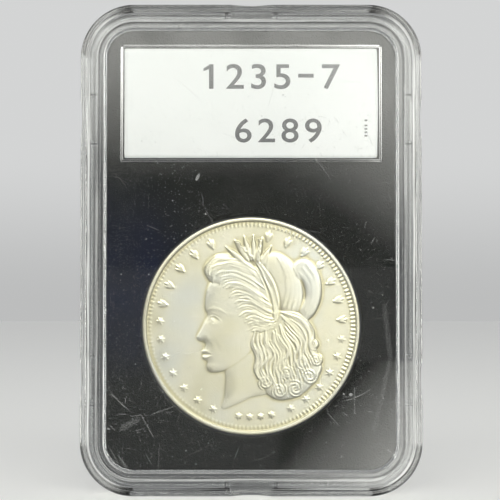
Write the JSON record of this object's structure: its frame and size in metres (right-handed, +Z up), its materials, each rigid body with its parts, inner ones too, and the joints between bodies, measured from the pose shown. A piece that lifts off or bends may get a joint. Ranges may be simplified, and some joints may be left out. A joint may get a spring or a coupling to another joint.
{
  "type": "graded coin slab",
  "caption": "Clear snap-together display slab that holds a silver-coloured coin in a black foam insert under a printed label card.",
  "frame": {"origin": "middle of the bottom edge, in the plane where the two shells part; the slab stands on that edge", "axes": "+X across the slab, +Y out of its back, +Z up towards the label; the face looks along -Y"},
  "size_m": [0.0596, 0.008, 0.0857],
  "materials": {
    "clear_shell": "polished",
    "black_foam": "matte",
    "label_paper": "matte",
    "coin_silver": "satin"
  },
  "bodies": {
    "back_half": {"back_shell": "clear_shell"},
    "front_half": {"front_shell": "clear_shell"},
    "insert": {"foam_insert": "black_foam"},
    "label": {"label_card": "label_paper"},
    "coin": {"coin": "coin_silver"}
  },
  "joints": [
    {"name": "front_lift_off", "type": "slide", "parent": "back_half", "child": "front_half", "axis": [0, -1, 0], "range_m": [0, 0.04]},
    {"name": "label_lift_off", "type": "slide", "parent": "back_half", "child": "label", "axis": [0, -1, 0], "range_m": [0, 0.028]},
    {"name": "coin_lift_out", "type": "slide", "parent": "back_half", "child": "coin", "axis": [0, -1, 0], "range_m": [0, 0.018]},
    {"name": "insert_lift_out", "type": "slide", "parent": "back_half", "child": "insert", "axis": [0, -1, 0], "range_m": [0, 0.01]}
  ],
  "couplings": [
    {"joint": "label_lift_off", "follows": "front_lift_off", "ratio": 0.7},
    {"joint": "coin_lift_out", "follows": "front_lift_off", "ratio": 0.45},
    {"joint": "insert_lift_out", "follows": "front_lift_off", "ratio": 0.25}
  ]
}
